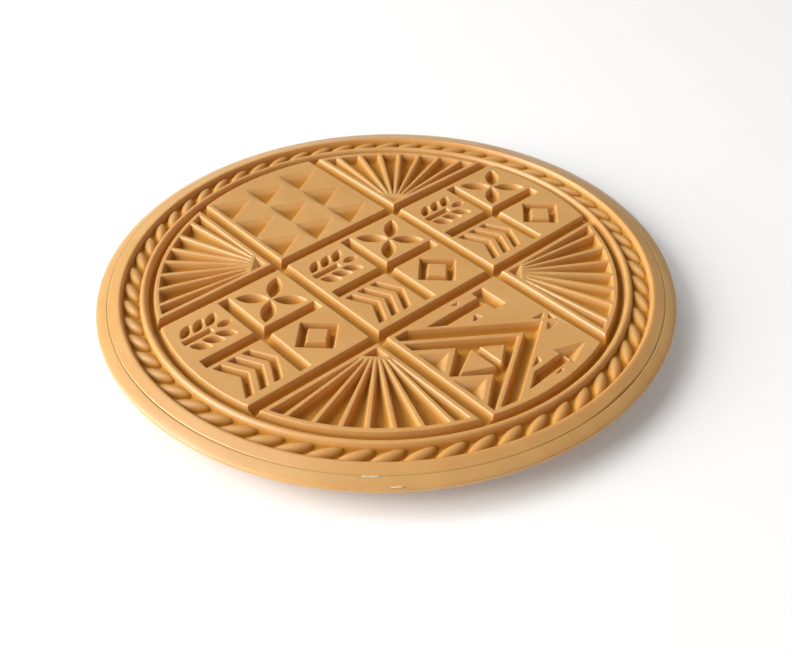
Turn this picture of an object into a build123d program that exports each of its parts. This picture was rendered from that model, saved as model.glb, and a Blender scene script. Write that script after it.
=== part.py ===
"""Altar-bread seal: a carved face plate bonded into a plain backing shell."""
import os
from math import atan2, cos, hypot, radians, sin, sqrt, tan

from build123d import *

os.makedirs("parts", exist_ok=True)

# ---- overall body (mm) -------------------------------------------------------
seal_radius = 79.6          # widest point of the backing shell
seal_height = 10.0          # resting face to the land of the carving
edge_drop = 2.6             # widest point sits this far under the land
foot_radius = 72.6          # outer edge of the resting ring
foot_width = 9.0
foot_step = 0.8             # the back is relieved by this much inside the ring
foot_ease = 0.6
edge_ease = 0.45            # rounding of the widest edge: how far it draws in below,
edge_under = 0.9            # how far down it reaches,
edge_over = 0.75            # and how far up
shoulder_bulge = 0.12       # swell of the shoulder between that edge and the seam

# ---- bonded joint between the two mouldings ------------------------------------
seam_radius = 76.4          # the visible line on the rim
seam_drop = 0.85            # the line sits this far under the land
seam_gap = 0.12             # running clearance round the face plate
plate_thick = 4.6           # land to the underside of the face plate
cement_inset = 3.0          # centre of the cement channel, in from the joint
cement_width = 1.8
cement_depth = 1.0
peg_count = 4
peg_inset = 24.4            # pegs, in from the joint
peg_radius = 2.5
peg_length = 2.4
peg_gap = 0.1

# ---- rim, rope and ring, each measured in from the joint --------------------------
rim_crest_inset = 2.4
rim_lip_inset = 3.8
rim_lip_drop = 0.35
rim_ease = 0.45             # the lip's edge is eased by this much
rim_ease_drop = 0.1
rope_inset = 6.3            # middle of the rope
rope_channel = 4.3          # flat width of the channel the rope lies in
strand_count = 60
strand_slant = 25.0         # degrees off the run of the rope
strand_phase = 1.3          # degrees from the right arm to the first strand
strand_length = 8.6
strand_width = 3.3
strand_flank = 34.0         # its sides lean in by this much
strand_rise = 1.6
rope_drop = 0.8             # crest of the rope under the land
ring_inset = 9.65           # middle of the plain ring inside the rope
ring_width = 2.0
ring_bevel = 0.5            # the ring's top edges are eased by this much
field_inset = 12.7          # outer edge of the carved field

# ---- carved field ----------------------------------------------------------------
relief = 2.8                # depth of every main cut
pitch = 42.3                # panel to panel
groove = 3.6                # width of a main groove at the land
edging = 1.1                # thin lands left between neighbouring cuts
ridge = 0.85                # thinner lands inside the hill
cut_draft = 17.0            # degrees, sloped sides of the cuts

# nine chip-carved pits on the left arm
pit_rows = 3
pit_width = 11.4
pit_height = 10.6
pit_heel = 0.9              # deepest point stands this far off the base line

# ray fans between the arms
ray_count = 7
ray_step = 12.6             # degrees between rays at the corner they spring from
ray_width = 1.0
corner_chip = 5.0           # legs of the little triangle in the fan's corner
corner_bar = 0.7            # land between that triangle and the fan
chip_depth = 2.4

# the hill on the right arm
hill_peak_x = 44.9
hill_peak = 15.2
hill_line = 4.1             # width of its outer cut
hill_left = 1.392           # rise over run of its two sides
hill_right = 1.60
hill_leg_out = 61.4         # where the right leg stops against the round edge
hill_leg_in = 60.2
hill_islands = [[(41.6, -4.5), (48.8, -4.5), (44.9, 0.6)],
                [(40.8, -7.0), (44.9, -14.6), (48.9, -7.0)]]
knoll_left, knoll_right = 37.6, 50.8    # the two little hills at its foot
knoll_tip = -9.5
knoll_half = 6.6
knoll_wall = 1.2

# reed with its sponge, lance, and three-cornered nicks about the hill
sponge_low, sponge_high = (24.3, 9.2), (33.3, 13.3)
sponge_depth = 2.1
reed_x, reed_width, reed_foot, reed_slope = 28.1, 3.4, -7.3, 1.44
lance_head = [(54.2, 8.4), (61.4, 8.4), (57.8, 17.4)]
lance_point = (57.8, 10.6)
lance_depth = 2.25
lance_shaft = [(56.4, 9.8), (56.8, -1.2), (60.7, -7.2), (59.8, 9.8)]
nick_depth = 1.7
nicks = [[(42.3, 13.2), (44.5, 15.9), (42.6, 18.0)], [(48.2, 12.8), (48.1, 18.0), (45.9, 15.6)],
         [(43.7, 18.5), (45.2, 16.7), (46.6, 18.5)], [(24.2, 1.2), (25.6, 2.9), (24.2, 4.6)],
         [(33.3, 1.0), (33.2, 4.8), (30.8, 3.8)], [(55.6, -0.9), (55.4, 3.2), (53.3, 3.9)],
         [(61.2, 1.2), (61.3, 5.0), (60.5, 4.8)]]

# generic ornament in the quarters of the column's panels
leaf_length, leaf_width, leaf_out = 9.2, 4.0, 5.2
grain_length, grain_width, grain_lean = 6.0, 2.7, 50.0
grain_out, grain_step, grain_drop = 3.7, 3.9, 0.7
stalk_width, stalk_length = 2.2, 9.0
bud_width, bud_length, bud_up = 2.4, 4.6, 5.1
lozenge_out, lozenge_in = 7.3, 3.4
chevron_half, chevron_rise, chevron_thick = 7.2, 3.6, 2.7
chevron_step = 4.3

land_z = seal_height
plate_z = land_z - plate_thick
floor_z = land_z - relief
cement_radius = seam_radius - cement_inset
peg_circle = seam_radius - peg_inset
rim_crest_radius = seam_radius - rim_crest_inset
rim_lip_radius = seam_radius - rim_lip_inset
rope_radius = seam_radius - rope_inset
ring_radius = seam_radius - ring_inset
field_radius = seam_radius - field_inset
half_pitch = pitch / 2
arm_end = field_radius - edging
base = -half_pitch + groove / 2 + edging        # lower edge of the right arm's cuts
corner = half_pitch + groove / 2 + edging       # inner corner of each fan
rope_bed = land_z - rope_drop - strand_rise
wall = relief * tan(radians(cut_draft))         # run of a cut's sloped side
land = Plane.XY.offset(land_z)


def turned(points, quarter_turns):
    """Points turned about the seal's centre by whole quarter turns."""
    c, s = round(cos(radians(90 * quarter_turns))), round(sin(radians(90 * quarter_turns)))
    return [(x * c - y * s, x * s + y * c) for x, y in points]


def rectangle(x0, y0, x1, y1):
    """Rectangle from its lowest to its highest corner."""
    return [(x0, y0), (x1, y0), (x1, y1), (x0, y1)]


def almond(x, y, length, width, tilt):
    """Pointed leaf drawn with six sides, lying at a tilt."""
    c, s = cos(radians(tilt)), sin(radians(tilt))
    raw = [(-length / 2, 0), (-length / 5, -width / 2), (length / 5, -width / 2),
           (length / 2, 0), (length / 5, width / 2), (-length / 5, width / 2)]
    return [(x + u * c - v * s, y + u * s + v * c) for u, v in raw]


def drafted(points, depth=relief):
    """Body of a cut: the outline at the land, drawn in by the draft on its way down.
    It is raised upside down, then turned over onto the land."""
    with BuildPart(mode=Mode.PRIVATE) as body:
        with BuildSketch():
            Polygon(*[(x, -y) for x, y in reversed(points)], align=None)
        extrude(amount=depth, taper=cut_draft)
    return body.part.rotate(Axis.X, 180).moved(Location((0, 0, land_z)))


def standing(points):
    """Island left in a cut: its foot spreads out by the draft from the outline at the land."""
    with BuildPart(mode=Mode.PRIVATE) as body:
        with BuildSketch(Plane.XY.offset(floor_z)):
            Polygon(*points, align=None)
            offset(amount=wall, kind=Kind.INTERSECTION)
        extrude(amount=relief, taper=cut_draft)
    return body.part


def chipped(points, x, y, depth=relief):
    """Chip-carved cut: every side falls evenly to one deep point."""
    with BuildSketch(land, mode=Mode.PRIVATE) as mouth:
        Polygon(*points, align=None)
    return loft([mouth.sketch.face(), Vertex(x, y, land_z - depth)], ruled=True,
                mode=Mode.PRIVATE)


def panel_cuts(cy):
    """One panel of the upright column: an inner cross and four carved quarters."""
    bar = pitch - groove - 2 * edging
    quarter = (bar + groove) / 4
    reach = sqrt(arm_end**2 - (groove / 2) ** 2)
    top, low = cy + quarter, cy - quarter
    cuts = [drafted(rectangle(-groove / 2, max(cy - bar / 2, -reach),
                              groove / 2, min(cy + bar / 2, reach))),
            drafted(rectangle(-bar / 2, cy - groove / 2, bar / 2, cy + groove / 2))]
    for k in range(4):  # rosette of four leaves, and the four mitred bars of a lozenge
        a = 45 + 90 * k
        cuts.append(drafted(almond(-quarter + leaf_out * cos(radians(a)),
                                   top + leaf_out * sin(radians(a)),
                                   leaf_length, leaf_width, a)))
        mitred = turned([(lozenge_out, 0), (0, lozenge_out), (0, lozenge_in), (lozenge_in, 0)], k)
        cuts.append(drafted([(quarter + u, top + v) for u, v in mitred]))
    for k in range(-1, 2):  # ear of wheat: grains either side of a stalk, and three chevrons
        y = low - grain_drop + k * grain_step
        for x, lean in ((-quarter - grain_out, 180 - grain_lean), (-quarter + grain_out, grain_lean)):
            cuts.append(drafted(almond(x, y, grain_length, grain_width, lean)))
        y = low - chevron_thick / 2 + k * chevron_step
        cuts.append(drafted([(quarter - chevron_half, y - chevron_rise / 2),
                             (quarter, y + chevron_rise / 2),
                             (quarter + chevron_half, y - chevron_rise / 2),
                             (quarter + chevron_half, y - chevron_rise / 2 + chevron_thick),
                             (quarter, y + chevron_rise / 2 + chevron_thick),
                             (quarter - chevron_half, y - chevron_rise / 2 + chevron_thick)]))
    half = stalk_width / 2
    foot = cy - bar / 2 + edging / 2
    cuts.append(drafted(rectangle(-quarter - half, foot, -quarter + half, foot + stalk_length)))
    cuts.append(drafted(almond(-quarter, low + bud_up, bud_length, bud_width, 90)))
    return cuts


def pit_cuts():
    """Nine pits, each falling from its two sides to one deep point at the heel."""
    cuts = []
    step = pit_width + edging
    for row in range(pit_rows):
        for col in range(pit_rows):
            heel = base + row * step
            mid = -corner - pit_width / 2 - col * step
            cuts.append(chipped([(mid - pit_width / 2, heel), (mid + pit_width / 2, heel),
                                 (mid, heel + pit_height)], mid, heel + pit_heel))
    return cuts


def hill_cuts():
    """The hill's double line, its inner channel, and the islands left standing in that."""
    lean_l, lean_r = hypot(1, hill_left), hypot(1, hill_right)
    low_peak = hill_peak - hill_line * (lean_l + lean_r) / 2
    in_peak = low_peak - ridge * (lean_l + lean_r) / 2
    outer = drafted([(corner, base), (hill_peak_x - (low_peak - base) / hill_left, base),
                     (hill_peak_x, low_peak),
                     (hill_leg_in, low_peak - hill_right * (hill_leg_in - hill_peak_x)),
                     (hill_leg_out, hill_peak - hill_right * (hill_leg_out - hill_peak_x)),
                     (hill_peak_x, hill_peak),
                     (corner, hill_peak - (hill_peak_x - corner) * hill_left)])
    inner = drafted([(hill_peak_x - (in_peak - base) / hill_left, base),
                     (hill_peak_x + (in_peak - base) / hill_right, base),
                     (hill_peak_x, in_peak)])
    slope = (knoll_tip - base) / knoll_half
    tip = knoll_tip - knoll_wall * hypot(1, slope)
    half = (tip - base) / slope
    islands, pits = [standing(points) for points in hill_islands], []
    for x in (knoll_left, knoll_right):
        islands.append(standing([(x - knoll_half, base), (x + knoll_half, base), (x, knoll_tip)]))
        pits.append(chipped([(x - half, base), (x + half, base), (x, tip)], x, base + pit_heel))
    return outer, inner, islands, pits


def emblem_cuts():
    """Reed with its sponge, lance, and the nicks about the hill."""
    left, right, top = reed_x - reed_width / 2, reed_x + reed_width / 2, sponge_low[1]
    fall = reed_width * reed_slope / 2
    cuts = [drafted(rectangle(*sponge_low, *sponge_high), sponge_depth),
            drafted([(left, top), (left, reed_foot - fall), (right, reed_foot + fall),
                     (right, top)]),
            chipped(lance_head, *lance_point, lance_depth), drafted(lance_shaft)]
    for nick in nicks:
        x, y = (sum(point[axis] for point in nick) / 3 for axis in (0, 1))
        cuts.append(chipped(nick, x, y, nick_depth))
    return cuts


def fan_cuts():
    """Wedges between the rays of one fan, and the little triangle in its corner."""
    rays = [ray_step * (k - (ray_count - 1) / 2) for k in range(ray_count)]

    def fan_point(angle, side):
        """Where one side of a ray meets the fan's outer edge."""
        c, s = cos(radians(45 + angle)), sin(radians(45 + angle))
        x, y = corner - s * side, corner + c * side
        along = x * c + y * s
        reach = -along + sqrt(along**2 - (x**2 + y**2 - arm_end**2))
        return (x + c * reach, y + s * reach)

    side_end = sqrt(arm_end**2 - corner**2)
    ends = [(side_end, corner)]
    for angle in rays:
        ends += [fan_point(angle, -ray_width / 2), fan_point(angle, ray_width / 2)]
    ends.append((corner, side_end))
    cuts = []
    for k in range(ray_count + 1):
        a, b = ends[2 * k], ends[2 * k + 1]
        lean = atan2(a[1] + b[1] - 2 * corner, a[0] + b[0] - 2 * corner)
        start = (corner_chip / sqrt(2) + corner_bar) / cos(lean - radians(45))
        cuts.append([(corner + start * cos(lean), corner + start * sin(lean)), a, b])
    chip = [(corner, corner), (corner + corner_chip, corner), (corner, corner + corner_chip)]
    return cuts, chip


# ==== bodies of the carver's cuts ====================================================
cuts = pit_cuts() + emblem_cuts()
for row in (-1, 0, 1):
    cuts += panel_cuts(row * pitch)
wedges, chip = fan_cuts()
deep = corner + pit_heel
for k in range(4):
    cuts += [drafted(turned(wedge, k)) for wedge in wedges]
    cuts.append(chipped(turned(chip, k), *turned([(deep, deep)], k)[0], chip_depth))
outer, inner, islands, pits = hill_cuts()

# ==== face plate =====================================================================
with BuildPart() as face_plate:
    # turned blank: land, ring groove, ring, rope channel and domed rim
    ring_in = ring_radius - ring_width / 2
    ring_out = ring_radius + ring_width / 2
    with BuildSketch(Plane.XZ):
        with BuildLine():
            Polyline((0, plate_z), (0, land_z), (field_radius, land_z),
                     (field_radius + wall, floor_z), (ring_in - wall / 2, floor_z),
                     (ring_in, land_z - ring_bevel), (ring_in + ring_bevel, land_z),
                     (ring_out - ring_bevel, land_z), (ring_out, land_z - ring_bevel),
                     (rope_radius - rope_channel / 2, rope_bed),
                     (rope_radius + rope_channel / 2, rope_bed),
                     (rim_lip_radius, land_z - rim_lip_drop),
                     (rim_lip_radius + rim_ease, land_z - rim_ease_drop))
            ThreePointArc((rim_lip_radius + rim_ease, land_z - rim_ease_drop),
                          (rim_crest_radius, land_z), (seam_radius, land_z - seam_drop))
            Polyline((seam_radius, land_z - seam_drop), (seam_radius, plate_z), (0, plate_z))
        make_face()
    revolve(axis=Axis.Z)

    # main grooves of the cross grid, carved right out into the ring groove
    run = sqrt((field_radius + wall) ** 2 - half_pitch**2)
    for frame in (Plane.XZ, Plane.YZ):
        with BuildSketch(frame.offset(-run)):
            with Locations((-half_pitch, land_z), (half_pitch, land_z)):
                Trapezoid(groove, relief, 90 - cut_draft, rotation=180,
                          align=(Align.CENTER, Align.MIN))
        extrude(amount=2 * run, mode=Mode.SUBTRACT)

    # column of three panels, nine pits, emblems and fans
    add(cuts, mode=Mode.SUBTRACT)

    # the hill: double line and inner channel, islands put back, their pits cut
    add([outer, inner], mode=Mode.SUBTRACT)
    add(islands)
    add(pits, mode=Mode.SUBTRACT)

    # rope border: slanted strands on the bed of the channel
    with BuildSketch(Plane.XY.offset(rope_bed)):
        oval = [(strand_length / 2 * cos(radians(a)), strand_width / 2 * sin(radians(a)))
                for a in range(0, 360, 45)]
        with PolarLocations(rope_radius, strand_count, start_angle=strand_phase):
            Polygon(*oval, rotation=90 + strand_slant, align=None)
    extrude(amount=strand_rise, taper=strand_flank)

    # pegs that place the plate in the shell
    with BuildSketch(Plane.XY.offset(plate_z)):
        with PolarLocations(peg_circle, peg_count, start_angle=45):
            Circle(peg_radius)
    extrude(amount=-peg_length)

# ==== backing shell ===================================================================
with BuildPart() as back_shell:
    seat = seam_radius + seam_gap
    edge_z = land_z - edge_drop
    with BuildSketch(Plane.XZ):
        with BuildLine():
            Polyline((0, foot_step), (foot_radius - foot_width, foot_step),
                     (foot_radius - foot_width + foot_ease, 0), (foot_radius, 0),
                     (seal_radius - edge_ease, edge_z - edge_under))
            ThreePointArc((seal_radius - edge_ease, edge_z - edge_under), (seal_radius, edge_z),
                          (seal_radius - edge_ease / 2, edge_z + edge_over))
            SagittaArc((seal_radius - edge_ease / 2, edge_z + edge_over),
                       (seat, land_z - seam_drop), -shoulder_bulge)
            Polyline((seat, land_z - seam_drop), (seat, plate_z), (0, plate_z), (0, foot_step))
        make_face()
    revolve(axis=Axis.Z)

    # channel for the cement
    with BuildSketch(Plane.XY.offset(plate_z)):
        Circle(cement_radius + cement_width / 2)
        Circle(cement_radius - cement_width / 2, mode=Mode.SUBTRACT)
    extrude(amount=-cement_depth, mode=Mode.SUBTRACT)

    # sockets for the pegs
    with BuildSketch(Plane.XY.offset(plate_z)):
        with PolarLocations(peg_circle, peg_count, start_angle=45):
            Circle(peg_radius + peg_gap)
    extrude(amount=-peg_length - peg_gap, mode=Mode.SUBTRACT)

# ==== cement =============================================================================
with BuildPart() as seam_cement:
    with BuildSketch(Plane.XY.offset(plate_z)):
        Circle(cement_radius + cement_width / 2)
        Circle(cement_radius - cement_width / 2, mode=Mode.SUBTRACT)
    extrude(amount=-cement_depth)

for piece, name in ((face_plate, "face_plate"), (back_shell, "back_shell"),
                    (seam_cement, "seam_cement")):
    piece.part.label = name
    export_step(piece.part, f"parts/{name}.step")
    print(name, piece.part.is_valid, len(piece.part.solids()), round(piece.part.volume))
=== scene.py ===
"""Altar-bread seal lying face up: carved face plate, turned backing shell and their finishes."""
import math

import bpy
import numpy as np
from mathutils import Matrix, Vector


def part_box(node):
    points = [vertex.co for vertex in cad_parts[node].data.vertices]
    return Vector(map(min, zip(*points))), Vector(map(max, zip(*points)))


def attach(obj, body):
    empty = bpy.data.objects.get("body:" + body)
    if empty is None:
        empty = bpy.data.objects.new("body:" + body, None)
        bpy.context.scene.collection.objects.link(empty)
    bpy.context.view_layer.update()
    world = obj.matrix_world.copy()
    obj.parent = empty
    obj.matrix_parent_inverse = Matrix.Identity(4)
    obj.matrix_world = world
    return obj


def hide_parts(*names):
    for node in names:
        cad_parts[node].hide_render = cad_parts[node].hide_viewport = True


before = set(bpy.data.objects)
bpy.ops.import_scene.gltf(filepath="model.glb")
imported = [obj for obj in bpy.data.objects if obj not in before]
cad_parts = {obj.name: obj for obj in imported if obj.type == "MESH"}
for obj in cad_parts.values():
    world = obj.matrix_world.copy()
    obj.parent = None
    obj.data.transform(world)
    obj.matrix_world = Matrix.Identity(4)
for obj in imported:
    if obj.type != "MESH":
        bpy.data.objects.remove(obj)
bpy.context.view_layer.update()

# ---- sizes in millimetres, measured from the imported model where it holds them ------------
MM = 0.001
plate_box = np.array(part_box("face_plate")) / MM
shell_box = np.array(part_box("back_shell")) / MM
cement_box = np.array(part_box("seam_cement")) / MM
land_z = plate_box[1][2]                # land of the carving
seam_radius = plate_box[1][0]           # bonded joint between the two mouldings
seal_radius = shell_box[1][0]
plate_z = cement_box[1][2]              # ledge that the plate lies on
cement_z = cement_box[0][2]
cement_outer = cement_box[1][0]

# carved field
relief = 2.8                            # depth of a main cut
pitch = 42.3                            # panel to panel
groove = 3.6
edging = 1.1                            # thin land between neighbouring cuts
ridge = 0.85                            # thinner land inside the hill
field_radius = 63.7
lip = 0.36                              # rounding where a cut leaves the land
foot = 0.85                             # rounding where a wall meets the floor
steep = 3.3                             # rise over run of the cut walls
pit_heel = 0.9                          # deepest point of a pit, in from its base line
floor_z = land_z - relief
half_pitch = pitch / 2
arm_end = field_radius - edging
bar = pitch - groove - 2 * edging
quarter = (bar + groove) / 4
base = -half_pitch + groove / 2 + edging    # lower edge of the cuts on the left and right arms
corner = half_pitch + groove / 2 + edging

# ring, rope and rim
ring_radius = 66.75
rope_radius = 70.1
rope_low, rope_high = 67.6, 72.4        # the strands lie between these radii
strand_count = 60
strand_phase = math.radians(1.3)
strand_length = 9.4
strand_width = 3.5
strand_slant = math.radians(25)
rope_crest = land_z - 0.75
rope_bed = land_z - 2.4
rim_crest_radius = 73.2
seam_drop = 0.87
seam_z = land_z - seam_drop

# turned profile of the face: (radius, height)
face_profile = [
    # land of the field and the groove about it
    (0, land_z), (field_radius, land_z), (field_radius + 0.85, floor_z), (65.2, floor_z),
    # plain ring
    (65.72, land_z - 0.75), (66.1, land_z - 0.2), (ring_radius - 0.25, land_z),
    (ring_radius + 0.25, land_z), (67.4, land_z - 0.2), (67.75, land_z - 0.75),
    # rope channel and the lip of the rim
    (68.1, rope_bed), (72.0, rope_bed), (72.66, land_z - 0.42), (72.86, land_z - 0.14),
    (73.05, land_z - 0.01),
    # domed rim down to the joint
    (rim_crest_radius, land_z), (73.55, land_z - 0.04), (74.0, land_z - 0.15),
    (74.5, land_z - 0.31), (75.0, land_z - 0.48), (75.6, land_z - 0.66), (76.1, land_z - 0.80),
    (seam_radius, seam_z)]
profile_ease = 0.14                     # the corners of that profile are eased over this much


# ==== heights of the carved face ==========================================================
cuts = []                               # (reach of the cut, function giving its depth)


def reach_of(points):
    """Lowest and highest corner of an outline."""
    xs, ys = zip(*points)
    return min(xs), min(ys), max(xs), max(ys)


def wall_depth(inside, full):
    """Depth this far inside a cut's outline: rounded lip, steep wall, hollowed foot, flat floor."""
    run = full / steep + (lip + foot) / 2
    start = steep * np.clip(inside, 0, lip) ** 2 / (2 * lip)
    middle = steep * np.clip(inside - lip, 0, run - lip - foot)
    t = np.clip(inside - (run - foot), 0, foot)
    return start + middle + steep * (t - t * t / (2 * foot))


def inside_distance(x, y, loops):
    """Distance to the nearest edge for points inside the outline but not its islands, else 0."""
    nearest = np.full(x.shape, 1e9)
    inside = np.zeros(x.shape, bool)
    for loop in loops:
        for (ax, ay), (bx, by) in zip(loop, loop[1:] + loop[:1]):
            ex, ey = bx - ax, by - ay
            t = np.clip(((x - ax) * ex + (y - ay) * ey) / (ex * ex + ey * ey), 0, 1)
            nearest = np.minimum(nearest, np.hypot(x - ax - t * ex, y - ay - t * ey))
            if ay != by:
                inside ^= ((ay > y) != (by > y)) & (x < ax + ex * (y - ay) / ey)
    return np.where(inside, nearest, 0.0)


def channel(*loops, depth=relief, end_radius=None):
    """Flat-floored cut with sloping walls, optionally stopped by a circle about the centre."""
    def depth_at(x, y):
        inside = inside_distance(x, y, loops)
        if end_radius:
            inside = np.minimum(inside, np.clip(end_radius - np.hypot(x, y), 0, None))
        return wall_depth(inside, depth)
    cuts.append((reach_of(loops[0]), depth_at))


def leaf(x0, y0, length, width, tilt):
    """Pointed leaf, the overlap of two circles, cut like a channel."""
    bow = (length**2 + width**2) / (4 * width)
    across = (-math.sin(tilt) * (bow - width / 2), math.cos(tilt) * (bow - width / 2))

    def depth_at(x, y):
        first = bow - np.hypot(x - x0 - across[0], y - y0 - across[1])
        second = bow - np.hypot(x - x0 + across[0], y - y0 + across[1])
        return wall_depth(np.clip(np.minimum(first, second), 0, None), relief)
    half = length / 2
    cuts.append(((x0 - half, y0 - half, x0 + half, y0 + half), depth_at))


def edge_drop(a, b, x, y):
    """Distance inward from the line through two corners of an outline."""
    nx, ny = b[1] - a[1], a[0] - b[0]
    return ((x - a[0]) * nx + (y - a[1]) * ny) / math.hypot(nx, ny)


def sloped_pit(outline, slopes, depth):
    """Pit whose sides fall at their own slopes down to a floor, creases and lip eased."""
    crease, soft = 0.22, 0.14

    def depth_at(x, y):
        lowest = np.full(x.shape, depth)
        for a, b, slope in zip(outline, outline[1:] + outline[:1], slopes):
            fall = slope * edge_drop(a, b, x, y)
            gap = np.clip(crease - np.abs(lowest - fall), 0, None)
            lowest = np.minimum(lowest, fall) - gap**2 / (4 * crease)
        lowest = np.clip(lowest, 0, None)
        return np.sqrt(lowest**2 + soft**2) - soft
    cuts.append((reach_of(outline), depth_at))


def chip(outline, deep, depth):
    """Chip-carved pit: every side falls evenly to one deep point. The outline runs clockwise."""
    slopes = [depth / edge_drop(a, b, *deep) for a, b in zip(outline, outline[1:] + outline[:1])]
    sloped_pit(outline, slopes, depth)


def box_outline(x0, y0, x1, y1):
    """Rectangle from its lowest to its highest corner."""
    return [(x0, y0), (x1, y0), (x1, y1), (x0, y1)]


def main_grooves():
    """The cross grid, run out into the groove under the ring."""
    run_out = 1.2
    run = math.sqrt((field_radius + run_out) ** 2 - half_pitch**2)
    for middle in (-half_pitch, half_pitch):
        channel(box_outline(middle - groove / 2, -run, middle + groove / 2, run))
        channel(box_outline(-run, middle - groove / 2, run, middle + groove / 2))


def rosette(x0, y0):
    """Four leaves crossing on the diagonals."""
    leaf_out, leaf_length, leaf_width = 5.2, 9.4, 4.2
    for k in range(4):
        a = math.radians(45 + 90 * k)
        leaf(x0 + leaf_out * math.cos(a), y0 + leaf_out * math.sin(a), leaf_length, leaf_width, a)


def lozenge(x0, y0):
    """Diamond ring."""
    half_outside, half_inside = 7.3, 3.4
    loops = []
    for size in (half_outside, half_inside):
        loops.append([(x0 + size, y0), (x0, y0 + size), (x0 - size, y0), (x0, y0 - size)])
    channel(*loops)


def wheat_ear(x0, y0):
    """Three pairs of grains on a stalk, with a bud at the tip."""
    grain_out, grain_length, grain_width, grain_lean = 3.7, 6.2, 2.9, 50
    stalk_half, stalk_low, stalk_high = 1.1, 7.68, 1.32
    bud_up, bud_length, bud_width = 5.1, 4.9, 2.6
    for step in (-4.6, -0.7, 3.2):
        leaf(x0 - grain_out, y0 + step, grain_length, grain_width, math.radians(180 - grain_lean))
        leaf(x0 + grain_out, y0 + step, grain_length, grain_width, math.radians(grain_lean))
    channel(box_outline(x0 - stalk_half, y0 - stalk_low, x0 + stalk_half, y0 + stalk_high))
    leaf(x0, y0 + bud_up, bud_length, bud_width, math.radians(90))


def chevrons(x0, y0):
    """Three stacked chevrons."""
    half, rise, thick, apart = 7.2, 3.6, 2.7, 4.3
    for step in (-apart, 0.0, apart):
        low = y0 + step - thick / 2
        channel([(x0 - half, low - rise / 2), (x0, low + rise / 2), (x0 + half, low - rise / 2),
                 (x0 + half, low - rise / 2 + thick), (x0, low + rise / 2 + thick),
                 (x0 - half, low - rise / 2 + thick)])


def column_panels():
    """Three panels of the upright column: an inner cross with four carved quarters."""
    for row in (-1, 0, 1):
        cy = row * pitch
        low, high = cy - bar / 2, cy + bar / 2
        channel(box_outline(-groove / 2, low, groove / 2, high), end_radius=arm_end)
        channel(box_outline(-bar / 2, cy - groove / 2, bar / 2, cy + groove / 2))
        rosette(-quarter, cy + quarter)
        lozenge(quarter, cy + quarter)
        wheat_ear(-quarter, cy - quarter)
        chevrons(quarter, cy - quarter)


def nine_pits():
    """Left arm: three rows of three pits, each with one slanting side and two steep ones."""
    width, height = 11.4, 10.6
    slant, drop = 0.7, 2.6                  # rise over run of the slanting and the steep sides
    for row in range(3):
        for col in range(3):
            heel = base + row * (width + edging)
            middle = -corner - width / 2 - col * (width + edging)
            sloped_pit([(middle - width / 2, heel), (middle, heel + height),
                        (middle + width / 2, heel)], (slant, drop, drop), relief)


def hill():
    """Right arm: the hill in a double line, with two little hills and islands inside."""
    peak_x, peak, line = 44.9, 15.2, 4.1
    left_lean, right_lean = 1.392, 1.60
    leg_out, leg_in = 61.4, 60.2
    both = (math.hypot(1, left_lean) + math.hypot(1, right_lean)) / 2
    low_peak = peak - line * both
    in_peak = low_peak - ridge * both
    channel([(corner, base), (corner, peak - (peak_x - corner) * left_lean), (peak_x, peak),
             (leg_out, peak - (leg_out - peak_x) * right_lean),
             (leg_in, low_peak - (leg_in - peak_x) * right_lean),
             (peak_x, low_peak), (peak_x - (low_peak - base) / left_lean, base)])
    knolls, knoll_tip, knoll_half, knoll_wall = (37.6, 50.8), -9.5, 6.6, 1.2
    upper_island = [(41.6, -4.5), (44.9, 0.6), (48.8, -4.5)]
    lower_island = [(40.8, -7.0), (48.9, -7.0), (44.9, -14.6)]
    channel([(peak_x - (in_peak - base) / left_lean, base), (peak_x, in_peak),
             (peak_x + (in_peak - base) / right_lean, base)], upper_island, lower_island,
            *[[(x - knoll_half, base), (x, knoll_tip), (x + knoll_half, base)] for x in knolls])
    slope = (knoll_tip - base) / knoll_half
    pit_tip = knoll_tip - knoll_wall * math.hypot(1, slope)
    pit_half = (pit_tip - base) / slope
    for x in knolls:
        chip([(x - pit_half, base), (x, pit_tip), (x + pit_half, base)], (x, base + pit_heel),
             relief)


def reed_and_lance():
    """The reed with its sponge, the lance, and three-cornered nicks about the hill."""
    sponge, sponge_depth = (24.3, 9.2, 33.3, 13.3), 2.1
    reed = [(26.4, 10.2), (29.8, 10.2), (29.8, -4.85), (26.4, -9.75)]
    lance_head, lance_point = [(54.2, 8.4), (57.8, 17.4), (61.4, 8.4)], (57.8, 10.6)
    lance_depth = 2.25
    lance_shaft = [(56.4, 9.8), (59.8, 9.8), (60.7, -7.2), (56.8, -1.2)]
    nick_depth = 1.7
    nicks = [((42.3, 13.2), (42.6, 18.0), (44.5, 15.9)), ((48.2, 12.8), (45.9, 15.6), (48.1, 18.0)),
             ((43.7, 18.5), (46.6, 18.5), (45.2, 16.7)), ((24.2, 1.2), (24.2, 4.6), (25.6, 2.9)),
             ((33.3, 1.0), (30.8, 3.8), (33.2, 4.8)), ((55.6, -0.9), (53.3, 3.9), (55.4, 3.2)),
             ((61.2, 1.2), (60.5, 4.8), (61.3, 5.0))]
    channel(box_outline(*sponge), depth=sponge_depth)
    channel(reed)
    chip(lance_head, lance_point, lance_depth)
    channel(lance_shaft)
    for nick in nicks:
        middle = (sum(p[0] for p in nick) / 3, sum(p[1] for p in nick) / 3)
        chip(list(nick), middle, nick_depth)


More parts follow.
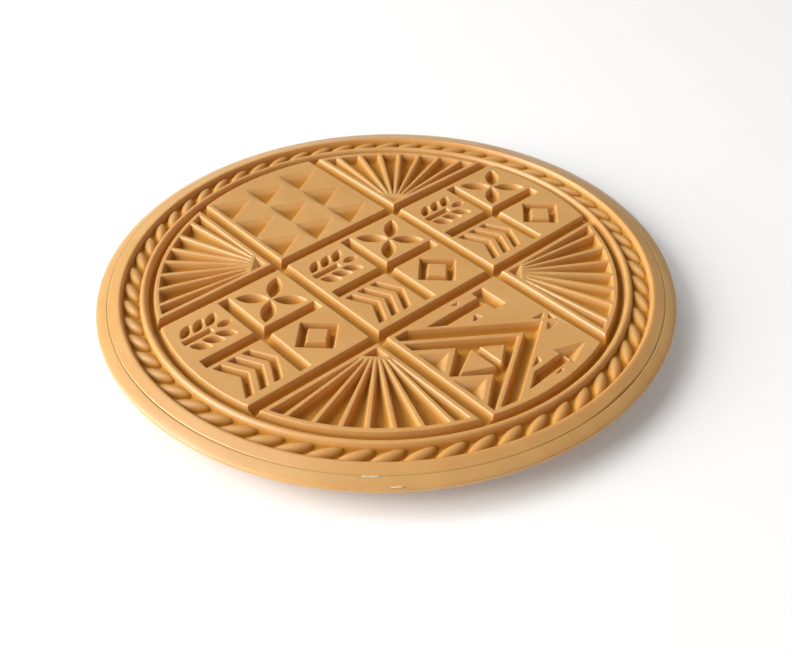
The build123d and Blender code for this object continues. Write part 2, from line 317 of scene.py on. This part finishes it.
def ray_fans():
    """Four fans of rays between the arms, each springing from its inner corner."""
    rays, ray_step, beyond = 7, math.radians(12.6), 45.0
    start, half_near, half_far = 4.25, 0.24, 0.60   # where the lands begin, their half widths
    chip_leg, chip_depth = 5.0, 2.4                 # triangle in the fan's corner
    sides = [-math.pi / 4]
    for k in range(rays):
        sides.append((k - (rays - 1) / 2) * ray_step)
    sides.append(math.pi / 4)
    for turn in range(4):
        c, s = math.cos(turn * math.pi / 2), math.sin(turn * math.pi / 2)

        def place(points):
            return [(u * c - v * s, u * s + v * c) for u, v in points]

        for k, (low, high) in enumerate(zip(sides, sides[1:])):
            edges = []
            for angle, shift in ((low, 1 if k else 0), (high, -1 if k < rays else 0)):
                ux, uy = math.cos(math.pi / 4 + angle), math.sin(math.pi / 4 + angle)
                for out, half in ((start / math.cos(angle), half_near), (beyond, half_far)):
                    edges.append((corner + out * ux - shift * half * uy,
                                  corner + out * uy + shift * half * ux))
            channel(place([edges[0], edges[1], edges[3], edges[2]]), end_radius=arm_end)
        legs = place([(corner, corner), (corner, corner + chip_leg), (corner + chip_leg, corner)])
        deep = place([(corner + pit_heel, corner + pit_heel)])[0]
        chip(legs, deep, chip_depth)


def turned_height(radius):
    """Height of the turned profile, its corners eased."""
    radii, heights = zip(*face_profile)
    ease = np.linspace(-profile_ease, profile_ease, 9)
    inner = np.mean([np.interp(radius + shift, radii, heights) for shift in ease], axis=0)
    return np.minimum(inner, land_z)


def rope_height(x, y):
    """Slanted strands, each a bellied lens that tucks under the next."""
    width_power, belly_power, rise_power = 0.55, 0.6, 0.38
    outside = -1.0
    angle, radius = np.arctan2(y, x), np.hypot(x, y)
    spacing = 2 * math.pi / strand_count
    height = np.full(x.shape, outside)
    nearest = np.round((angle - strand_phase) / spacing)
    for k in (-1, 0, 1):
        along = rope_radius * (angle - strand_phase - (nearest + k) * spacing)
        out = radius - rope_radius
        u = (along * math.cos(strand_slant) - out * math.sin(strand_slant)) / (strand_length / 2)
        v = along * math.sin(strand_slant) + out * math.cos(strand_slant)
        taper = np.clip(1 - u * u, 0, 1)
        half = strand_width / 2 * taper**width_power + 1e-6
        belly = np.clip(1 - (v / half) ** 2, 0, 1) ** belly_power
        rise = (rope_crest - rope_bed) * taper**rise_power * belly
        height = np.maximum(height, np.where(rise > 0, rope_bed + rise, outside))
    return height


def plate_height(x, y):
    """Height of the plate's face at any point."""
    depth = np.zeros(x.shape)
    for (x0, y0, x1, y1), depth_at in cuts:
        near = np.flatnonzero((x > x0) & (x < x1) & (y > y0) & (y < y1))
        if near.size:
            depth[near] = np.maximum(depth[near], depth_at(x[near], y[near]))
    radius = np.hypot(x, y)
    height = np.minimum(turned_height(radius), land_z - depth)
    near = np.flatnonzero((radius > rope_low) & (radius < rope_high))
    height[near] = np.maximum(height[near], rope_height(x[near], y[near]))
    return height


# ==== mesh making ===========================================================================
def circle(radius, turn):
    """Coordinates of points at these angles; the radius is one number or one for each."""
    return radius * np.cos(turn), radius * np.sin(turn)


def field_grid(radius, step):
    """Square grid inside a circle, its border points drawn out onto the circle."""
    line = np.arange(-int(radius / step), int(radius / step) + 1) * step
    x, y = np.meshgrid(line, line, indexing="ij")
    keep = np.hypot(x, y) <= radius
    cells = keep[:-1, :-1] & keep[1:, :-1] & keep[:-1, 1:] & keep[1:, 1:]
    around = np.zeros(x.shape, int)
    for dx in (0, 1):
        for dy in (0, 1):
            around[dx:dx + cells.shape[0], dy:dy + cells.shape[1]] += cells
    number = np.cumsum(around.ravel() > 0).reshape(x.shape) - 1
    quads = np.stack([number[:-1, :-1][cells], number[1:, :-1][cells],
                      number[1:, 1:][cells], number[:-1, 1:][cells]], axis=1)
    border = (around > 0) & (around < 4)
    stretch = radius / np.hypot(x[border], y[border])
    x[border] *= stretch
    y[border] *= stretch
    turn = np.arctan2(y[border], x[border]) % (2 * math.pi)
    order = np.argsort(turn)
    used = around > 0
    return x[used], y[used], quads, number[border][order], turn[order]


def zip_loops(inner, inner_turn, outer, outer_turn):
    """Triangles between two loops of points that run the same way round."""
    faces = []
    i = j = 0
    full = 2 * math.pi
    while i < len(inner) or j < len(outer):
        a, b = inner[i % len(inner)], outer[j % len(outer)]
        next_i, next_j = (i + 1) % len(inner), (j + 1) % len(outer)
        turn_i = inner_turn[next_i] + full * ((i + 1) // len(inner))
        turn_j = outer_turn[next_j] + full * ((j + 1) // len(outer))
        if j == len(outer) or (i < len(inner) and turn_i < turn_j):
            faces.append((a, b, inner[next_i]))
            i += 1
        else:
            faces.append((a, b, outer[next_j]))
            j += 1
    return faces


def ring_quads(first, count, rings):
    """Quads between neighbouring rings of points, each ring one after another."""
    index = first + np.arange(rings * count).reshape(rings, count)
    a, b = index[:-1], index[1:]
    return np.stack([a, b, np.roll(b, -1, 1), np.roll(a, -1, 1)], axis=2).reshape(-1, 4)


def mesh_object(name, points, faces):
    """Mesh object from points in millimetres."""
    mesh = bpy.data.meshes.new(name)
    mesh.from_pydata((np.asarray(points) * MM).tolist(), [], faces)
    mesh.update()
    piece = bpy.data.objects.new(name, mesh)
    bpy.context.scene.collection.objects.link(piece)
    mesh.shade_smooth()
    return piece


def thinned(piece, ratio):
    """The piece with this share of its triangles kept, worked into its mesh."""
    piece.modifiers.new("thin out", "DECIMATE").ratio = ratio
    graph = bpy.context.evaluated_depsgraph_get()
    mesh = bpy.data.meshes.new_from_object(piece.evaluated_get(graph))
    piece.modifiers.clear()
    piece.data = mesh
    return piece


def seam_edge(turn):
    """Radius of the plate's outer edge: the joint opens a little in three places."""
    gap = np.zeros(turn.shape)
    # middle and half length of each opening in degrees, and its width
    for middle, half, width in ((283, 24, 0.2), (6, 9, 0.24), (150, 30, 0.06)):
        away = np.abs((np.degrees(turn) - middle + 180) % 360 - 180)
        gap += width * np.clip(1 - (away / half) ** 2, 0, 1)
    return seam_radius - gap


def carved_plate():
    """Face plate: carved field, ring, rope and rim, closed below."""
    step = 0.25
    around = strand_count * 24
    field_edge, polar_start = 64.75, 64.95  # the grid ends and the rings begin in the groove
    dome_start, dome_rings = 73.0, 8        # coarser rings on the smooth dome
    opening_start = 75.0                    # the rings bend to the joint's openings from here
    side_drop = 0.25                        # top of the side under the joint's edge
    kept_share = 0.34
    x, y, quads, border, border_turn = field_grid(field_edge, step)
    faces = quads.tolist()
    turn = np.arange(around) * 2 * math.pi / around
    fine = np.linspace(polar_start, dome_start, int((dome_start - polar_start) / step * 1.1))
    dome = np.linspace(dome_start, seam_radius, dome_rings + 1)[1:]
    first = len(x)
    ring_x, ring_y = [], []
    outer_edge = seam_edge(turn)
    for radius in list(fine) + list(dome):
        share = np.clip((radius - opening_start) / (seam_radius - opening_start), 0, 1)
        ring = circle(radius - share * (seam_radius - outer_edge), turn)
        ring_x.append(ring[0])
        ring_y.append(ring[1])
    x = np.concatenate([x] + ring_x)
    y = np.concatenate([y] + ring_y)
    faces += ring_quads(first, around, len(ring_x) + 2).tolist()
    faces += zip_loops(border, border_turn, np.arange(first, first + around), turn)
    points = [np.stack([x, y, plate_height(x, y)], axis=1)]
    # side and underside
    for z in (seam_z - side_drop, plate_z):
        points.append(np.stack([*circle(outer_edge, turn), np.full(around, z)], axis=1))
    points.append(np.array([[0.0, 0.0, plate_z]]))
    points = np.concatenate(points)
    last = len(points) - 1 - around
    faces += [(last + (k + 1) % around, last + k, len(points) - 1) for k in range(around)]
    piece = thinned(mesh_object("carved_plate", points, faces), kept_share)
    smooth_face(piece)
    return piece


def smooth_face(piece):
    """Shades the carved face by the true slope of its surface just inside each corner."""
    step_share, step_most = 0.3, 0.1        # how far in from the corner the slope is read
    probe = 0.04                            # half the distance that the slope is read over
    upward, face_depth, margin = 0.05, 4, 0.6   # which corners belong to the carved face
    agreeing = math.cos(math.radians(26))   # beyond this the facet keeps its own normal
    mesh = piece.data

    def read(items, attribute, width):
        values = np.empty(len(items) * width)
        items.foreach_get(attribute, values)
        return values.reshape(-1, width)

    corners = np.empty(len(mesh.loops), int)
    mesh.loops.foreach_get("vertex_index", corners)
    count = np.empty(len(mesh.polygons), int)
    mesh.polygons.foreach_get("loop_total", count)
    place = (read(mesh.vertices, "co", 3) / MM)[corners]
    flat = np.repeat(read(mesh.polygons, "normal", 3), count, axis=0)
    middle = np.repeat(read(mesh.polygons, "center", 3) / MM, count, axis=0)
    normal = read(mesh.corner_normals, "vector", 3)
    inward = middle[:, :2] - place[:, :2]
    reach = np.linalg.norm(inward, axis=1)[:, None] + 1e-9
    x, y = (place[:, :2] + inward / reach * np.minimum(reach * step_share, step_most)).T
    east = (plate_height(x + probe, y) - plate_height(x - probe, y)) / (2 * probe)
    north = (plate_height(x, y + probe) - plate_height(x, y - probe)) / (2 * probe)
    slope = np.stack([-east, -north, np.ones(len(x))], axis=1)
    slope /= np.linalg.norm(slope, axis=1)[:, None]
    on_face = ((flat[:, 2] > upward) & (place[:, 2] > land_z - face_depth)
               & (np.hypot(x, y) < seam_radius - margin))
    keep = on_face & (np.sum(slope * flat, axis=1) > agreeing)
    lost = on_face & ~keep
    normal[keep] = slope[keep]
    normal[lost] = flat[lost]
    mesh.normals_split_custom_set(normal.tolist())


def lathe(name, profile, around):
    """Closed turned piece from its (radius, height) profile, which starts and ends on the axis."""
    turn = np.arange(around) * 2 * math.pi / around
    points = [(0.0, 0.0, profile[0][1])]
    for radius, z in profile[1:-1]:
        points += list(zip(*circle(radius, turn), np.full(around, z)))
    points.append((0.0, 0.0, profile[-1][1]))
    rings = len(profile) - 2
    faces = ring_quads(1, around, rings).tolist()
    last = 1 + (rings - 1) * around
    for k in range(around):
        faces.append((0, 1 + k, 1 + (k + 1) % around))
        faces.append((last + (k + 1) % around, last + k, len(points) - 1))
    return mesh_object(name, points, faces)


def turned_shell():
    """Backing shell: ledge with the cement channel, rounded shoulder, turn under and foot."""
    seat = seam_radius + 0.08
    cement_inner = cement_outer - 1.8
    edge_z = land_z - 2.6
    shoulder_swell = 0.32
    under_in, under_down = 0.9, 0.95
    foot_radius, foot_width, foot_step = 72.6, 9.0, 0.8
    foot_inner = foot_radius - foot_width
    # ledge, cement channel and the lip beside the joint
    profile = [(0, plate_z), (71.0, plate_z), (cement_inner, plate_z),
               (cement_inner, cement_z), (cement_outer, cement_z), (cement_outer, plate_z),
               (seat, plate_z), (seat, seam_z - 0.18), (seat + 0.03, seam_z - 0.05),
               (seat + 0.12, seam_z - 0.04), (seat + 0.40, seam_z - 0.14)]
    # shoulder: an even, slightly bellied slope, rounded over at the widest edge
    begin, end = profile[-1], (seal_radius - 0.25, land_z - 1.95)
    for t in (0.2, 0.4, 0.6, 0.8, 1.0):
        profile.append((begin[0] + t * (end[0] - begin[0]),
                        begin[1] + t * (end[1] - begin[1]) + shoulder_swell * t * (1 - t)))
    profile += [(seal_radius - 0.12, land_z - 2.06), (seal_radius - 0.04, land_z - 2.20),
                (seal_radius, land_z - 2.40), (seal_radius, edge_z - 0.08)]
    for degrees in (24, 36, 48, 60):
        t = math.radians(degrees)
        profile.append((seal_radius - under_in * (1 - math.cos(t)),
                        edge_z - under_down * math.sin(t)))
    # resting foot and the relieved middle of the back
    profile += [(foot_radius + 0.35, 0.36), (foot_radius, 0.08), (foot_radius - 0.3, 0.0),
                (foot_inner + 0.9, 0.0), (foot_inner + 0.6, 0.12),
                (foot_inner + 0.1, foot_step - 0.08),
                (foot_inner - 0.2, foot_step), (50.0, foot_step), (0, foot_step)]
    return lathe("turned_shell", profile, 360)


def flash_nib(name, degrees, radius, height, length, proud):
    """Sliver of moulding flash left on an edge, proud of it by this much and ragged along it."""
    steps, sunk, thinnest = 8, 0.12, 0.2
    points, faces = [], []
    for k in range(steps + 1):
        t = k / steps
        angle = math.radians(degrees) + (t - 0.5) * length / radius
        full = math.sin(math.pi * t) ** 0.5 * (0.8 + 0.2 * math.cos(9 * t))
        for out, up in ((-sunk, -0.16), (proud * full, -0.02), (-sunk, 0.14 + 0.05 * full)):
            reach = radius + out
            points.append((reach * math.cos(angle), reach * math.sin(angle),
                           height + up * max(full, thinnest)))
    for k in range(steps):
        for side in range(3):
            a, b = 3 * k + side, 3 * k + (side + 1) % 3
            faces.append((a, a + 3, b + 3, b))
    faces += [(0, 1, 2), (3 * steps + 2, 3 * steps + 1, 3 * steps)]
    return mesh_object(name, points, faces)


# ==== shading: groups shared by the finishes ==================================================
def new_group(name, inputs, outputs):
    """Empty node group with named float inputs and named outputs."""
    group = bpy.data.node_groups.new(name, "ShaderNodeTree")
    for label, value in inputs.items():
        socket = group.interface.new_socket(label, in_out="INPUT", socket_type="NodeSocketFloat")
        socket.default_value = value
    for label, kind in outputs.items():
        group.interface.new_socket(label, in_out="OUTPUT", socket_type=kind)
    return group, group.nodes.new("NodeGroupInput"), group.nodes.new("NodeGroupOutput")


def feed(tree, socket, value):
    """Sets a socket to a number or a linear colour, or links it to another socket."""
    if isinstance(value, (int, float)):
        socket.default_value = value
    elif isinstance(value, tuple):
        socket.default_value = (*value, 1.0)
    else:
        tree.links.new(value, socket)


def noise(tree, place, scale, detail, rough=0.55):
    """Noise over the given coordinates, scale in spots per metre."""
    node = tree.nodes.new("ShaderNodeTexNoise")
    node.inputs["Detail"].default_value = detail
    node.inputs["Roughness"].default_value = rough
    feed(tree, node.inputs["Scale"], scale)
    tree.links.new(place, node.inputs["Vector"])
    return node.outputs["Fac"]


def math_node(tree, kind, a, b):
    """Two-input math node; a and b are sockets or numbers."""
    node = tree.nodes.new("ShaderNodeMath")
    node.operation = kind
    feed(tree, node.inputs[0], a)
    feed(tree, node.inputs[1], b)
    return node.outputs[0]


def ranged(tree, value, low, high, to_low=0.0, to_high=1.0):
    """Smoothly maps a socket from one range to another."""
    node = tree.nodes.new("ShaderNodeMapRange")
    node.interpolation_type = "SMOOTHSTEP"
    for label, number in (("Value", value), ("From Min", low), ("From Max", high),
                          ("To Min", to_low), ("To Max", to_high)):
        feed(tree, node.inputs[label], number)
    return node.outputs["Result"]


def object_place(tree):
    """Object coordinates socket."""
    return tree.nodes.new("ShaderNodeTexCoord").outputs["Object"]


def recess_group():
    """How far down in the carving a point lies: 0 on the land, 1 on the floor. It places the
    painted shade, the dulling and the polish.
    """
    group, given, out = new_group("recess_depth", {"Land": 0.01, "Floor": 0.007},
                                  {"Depth": "NodeSocketFloat"})
    split = group.nodes.new("ShaderNodeSeparateXYZ")
    group.links.new(object_place(group), split.inputs[0])
    depth = ranged(group, split.outputs["Z"], given.outputs["Land"], given.outputs["Floor"])
    group.links.new(depth, out.inputs["Depth"])
    return group


def mottle_group():
    """Cloudy colour of a plastic moulded from mixed pellets, with faint flow streaks."""
    group, given, out = new_group("pellet_mottle", {"Scale": 40.0, "Streak": 0.4},
                                  {"Cloud": "NodeSocketFloat", "Speck": "NodeSocketFloat"})
    streak_scale, streak_turn = (30, 220, 120), math.radians(28)    # spots per metre, flow's run
    speck_scale, speck_low, speck_high = 900.0, 0.66, 0.74
    place = object_place(group)
    cloud = noise(group, place, given.outputs["Scale"], 4.0)
    stretch = group.nodes.new("ShaderNodeMapping")
    stretch.inputs["Scale"].default_value = streak_scale
    stretch.inputs["Rotation"].default_value = (0, 0, streak_turn)
    group.links.new(place, stretch.inputs["Vector"])
    streak = noise(group, stretch.outputs[0], 1.0, 2.0)
    weighted = math_node(group, "MULTIPLY", math_node(group, "SUBTRACT", streak, 0.5),
                         given.outputs["Streak"])
    group.links.new(math_node(group, "ADD", cloud, weighted), out.inputs["Cloud"])
    speck = ranged(group, noise(group, place, speck_scale, 1.0), speck_low, speck_high)
    group.links.new(speck, out.inputs["Speck"])
    return group


def skin_group():
    """Height and gloss of a moulded skin: fine grain, shallow waviness and handling marks."""
    group, given, out = new_group("moulded_skin", {"Grain": 2600.0, "Wave": 130.0},
                                  {"Height": "NodeSocketFloat", "Gloss": "NodeSocketFloat"})
    grain_share = 0.25
    smudge_scale, smudge_detail, smudge_rough = 70.0, 5.0, 0.65
    place = object_place(group)
    grain = noise(group, place, given.outputs["Grain"], 2.0)
    wave = noise(group, place, given.outputs["Wave"], 2.0)
    height = math_node(group, "ADD", math_node(group, "MULTIPLY", grain, grain_share), wave)
    group.links.new(height, out.inputs["Height"])
    smudge = noise(group, place, smudge_scale, smudge_detail, smudge_rough)
    group.links.new(smudge, out.inputs["Gloss"])
    return group


shade_and_gloss_depth = recess_group()
mottle = mottle_group()
skin = skin_group()


def placed(tree, group, **values):
    """One of the shared groups placed in a material with its own values."""
    node = tree.nodes.new("ShaderNodeGroup")
    node.node_tree = group
    for label, value in values.items():
        node.inputs[label].default_value = value
    return node


def mixed(tree, factor, first, second):
    """Colour mix; first and second are sockets or linear colours."""
    node = tree.nodes.new("ShaderNodeMix")
    node.data_type = "RGBA"
    tree.links.new(factor, node.inputs[0])
    feed(tree, node.inputs[6], first)
    feed(tree, node.inputs[7], second)
    return node.outputs[2]


def plastic(name, light, warm, deep, top, bottom, gloss, see_in, grain_height):
    """Moulded plastic, mottled from light to warm, satin and polished on the crests.

    Below the height top it turns to the colour deep, a painted shade, and dulls, fully so at the
    height bottom. The specks are drawn in the colour deep too.
    """
    cloud_low, cloud_high = 0.3, 0.72
    smudge_low, smudge_high = 0.3, 0.7
    speck_share = 0.12                      # how strongly the specks show
    dulling = 0.3                           # roughness added on the floor of a cut
    crest_coat, coat_end = 0.8, 0.4         # polish on the land, gone this far down
    material = bpy.data.materials.new(name)
    material.use_nodes = True
    tree = material.node_tree
    shader = tree.nodes["Principled BSDF"]
    depth = placed(tree, shade_and_gloss_depth, Land=top * MM, Floor=bottom * MM)
    cloudy = placed(tree, mottle, Scale=42.0, Streak=0.5)
    surface = placed(tree, skin, Grain=2600.0, Wave=150.0)
    body = mixed(tree, ranged(tree, cloudy.outputs["Cloud"], cloud_low, cloud_high), light, warm)
    # painted shade: the colour darkens to deep with depth below top
    body = mixed(tree, depth.outputs["Depth"], body, deep)
    # specks: the plastic's own random flecks, drawn in the colour deep
    specks = math_node(tree, "MULTIPLY", cloudy.outputs["Speck"], speck_share)
    body = mixed(tree, specks, body, deep)
    tree.links.new(body, shader.inputs["Base Color"])
    rough = ranged(tree, surface.outputs["Gloss"], smudge_low, smudge_high,
                   gloss - 0.05, gloss + 0.09)
    dulled = math_node(tree, "MULTIPLY", depth.outputs["Depth"], dulling)
    tree.links.new(math_node(tree, "ADD", rough, dulled), shader.inputs["Roughness"])
    polish = ranged(tree, depth.outputs["Depth"], 0.0, coat_end, crest_coat, 0.0)
    tree.links.new(polish, shader.inputs["Coat Weight"])
    shader.inputs["Coat Roughness"].default_value = gloss - 0.03
    bump = tree.nodes.new("ShaderNodeBump")
    bump.inputs["Strength"].default_value = 0.35
    bump.inputs["Distance"].default_value = grain_height
    tree.links.new(surface.outputs["Height"], bump.inputs["Height"])
    tree.links.new(bump.outputs["Normal"], shader.inputs["Normal"])
    shader.inputs["IOR"].default_value = 1.33
    shader.inputs["Subsurface Weight"].default_value = see_in
    shader.inputs["Subsurface Radius"].default_value = (1.0, 0.45, 0.14)
    shader.inputs["Subsurface Scale"].default_value = 0.0025
    return material


# deep, from top down to bottom, is painted shade: the cuts and the rope channel darken where shade
# falls
carved_finish = plastic(
    "carved_caramel_plastic", light=(0.69, 0.385, 0.130), warm=(0.64, 0.340, 0.106),
    deep=(0.56, 0.258, 0.035), top=land_z - 0.75, bottom=land_z - 1.9,
    gloss=0.36, see_in=0.45, grain_height=0.00018)
# deep, from top down to bottom, is painted shade: the shell's lower side and turn-under darken
# towards the foot
shell_finish = plastic(
    "shell_caramel_plastic", light=(0.69, 0.395, 0.140), warm=(0.63, 0.345, 0.114),
    deep=(0.42, 0.210, 0.066), top=land_z - 3.2, bottom=4.4,
    gloss=0.34, see_in=0.3, grain_height=0.00014)
# pale colour: a painted highlight on the flash nibs, which face the shaded side
nib_finish_with_highlight = plastic(
    "flash_painted_highlight", light=(0.96, 0.80, 0.52), warm=(0.93, 0.76, 0.47),
    deep=(0.90, 0.70, 0.40), top=land_z - 4.5, bottom=0.5,
    gloss=0.34, see_in=0.3, grain_height=0.0001)


def cement_finish():
    """Dull clouded cement."""
    material = bpy.data.materials.new("clouded_cement")
    material.use_nodes = True
    tree = material.node_tree
    shader = tree.nodes["Principled BSDF"]
    cloudy = placed(tree, mottle, Scale=160.0, Streak=0.2)
    surface = placed(tree, skin, Grain=1800.0, Wave=300.0)
    body = mixed(tree, cloudy.outputs["Cloud"], (0.42, 0.25, 0.10), (0.55, 0.36, 0.17))
    tree.links.new(body, shader.inputs["Base Color"])
    tree.links.new(ranged(tree, surface.outputs["Gloss"], 0.3, 0.7, 0.5, 0.7),
                   shader.inputs["Roughness"])
    bump = tree.nodes.new("ShaderNodeBump")
    bump.inputs["Distance"].default_value = 0.0002
    tree.links.new(surface.outputs["Height"], bump.inputs["Height"])
    tree.links.new(bump.outputs["Normal"], shader.inputs["Normal"])
    return material


def finish_piece(piece, material, slot_name, *nodes):
    """Gives a piece its material and its body, and hides the nodes that it stands for."""
    piece.data.materials.clear()
    piece.data.materials.append(material)
    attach(piece, "root")
    if nodes:
        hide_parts(*nodes)


# ==== the seal ================================================================================
main_grooves()
column_panels()
nine_pits()
hill()
reed_and_lance()
ray_fans()
finish_piece(carved_plate(), carved_finish, "carved_plastic", "face_plate")
finish_piece(turned_shell(), shell_finish, "shell_plastic", "back_shell")
# flash nibs, coloured pale as a painted highlight
finish_piece(flash_nib("seam_flash", 316.5, seam_radius + 0.2, seam_z - 0.02, 4.6, 0.3),
             nib_finish_with_highlight, "shell_plastic")
finish_piece(flash_nib("edge_flash", 320.8, seal_radius - 0.50, land_z - 1.66, 3.0, 0.22),
             nib_finish_with_highlight, "shell_plastic")
cement_material = cement_finish()
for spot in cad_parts["seam_cement"].material_slots:
    spot.material = cement_material


# ==== table, light and camera ===================================================================
def pale_table():
    """Plain pale table top, a hair under the seal's resting foot."""
    size, gap = 3000.0, 0.00005
    points = [(-size, -size, 0), (size, -size, 0), (size, size, 0), (-size, size, 0)]
    table = mesh_object("pale_table", points, [(0, 1, 2, 3)])
    table.location.z = -gap
    material = bpy.data.materials.new("pale_paper")
    material.use_nodes = True
    tree = material.node_tree
    shader = tree.nodes["Principled BSDF"]
    tone = noise(tree, object_place(tree), 30.0, 2.0)
    tree.links.new(mixed(tree, tone, (0.86, 0.86, 0.86), (0.88, 0.88, 0.88)),
                   shader.inputs["Base Color"])
    shader.inputs["Roughness"].default_value = 0.8
    shader.inputs["Emission Color"].default_value = (1.0, 1.0, 1.0, 1.0)
    shader.inputs["Emission Strength"].default_value = 0.15
    table.data.materials.append(material)


def on_sphere(azimuth, elevation, distance):
    """Point about the middle of the land, in metres."""
    a, e = math.radians(azimuth), math.radians(elevation)
    return Vector((math.cos(a) * math.cos(e), math.sin(a) * math.cos(e), math.sin(e))) * distance \
        + Vector((0, 0, land_z * MM))


def soft_light(name, azimuth, elevation, distance, size, power, colour=(1, 1, 1)):
    """Square soft box aimed at the seal."""
    lamp = bpy.data.lights.new(name, "AREA")
    lamp.size = size
    lamp.energy = power
    lamp.color = colour
    box = bpy.data.objects.new(name, lamp)
    box.location = on_sphere(azimuth, elevation, distance)
    box.rotation_euler = (-box.location).to_track_quat("-Z", "Y").to_euler()
    bpy.context.scene.collection.objects.link(box)


pale_table()
soft_light("window_left", 242, 28, 1.6, 1.4, 46.0, (1.0, 0.985, 0.96))
soft_light("window_high", 198, 60, 1.6, 1.0, 6.5, (1.0, 0.99, 0.97))

world = bpy.data.worlds.new("pale_room")
world.use_nodes = True
world.node_tree.nodes["Background"].inputs["Color"].default_value = (1.0, 1.0, 1.0, 1.0)
world.node_tree.nodes["Background"].inputs["Strength"].default_value = 0.18
bpy.context.scene.world = world
bpy.context.scene.view_settings.view_transform = "Standard"

eye_azimuth, eye_elevation, eye_distance = -40.41, 36.36, 0.28178
aim = Vector((0.02116, -0.01464, land_z * MM))
eye_roll = math.radians(-0.61)
camera = bpy.data.cameras.new("eye")
camera.lens = 45.80
camera.shift_x = -0.0016
camera.sensor_width = 36.0
camera.clip_start = 0.01
eye = bpy.data.objects.new("eye", camera)
eye.location = on_sphere(eye_azimuth, eye_elevation, eye_distance)
facing = (aim - eye.location).to_track_quat("-Z", "Y").to_matrix().to_4x4()
eye.matrix_world = Matrix.Translation(eye.location) @ facing @ Matrix.Rotation(eye_roll, 4, "Z")
bpy.context.scene.collection.objects.link(eye)
bpy.context.scene.camera = eye
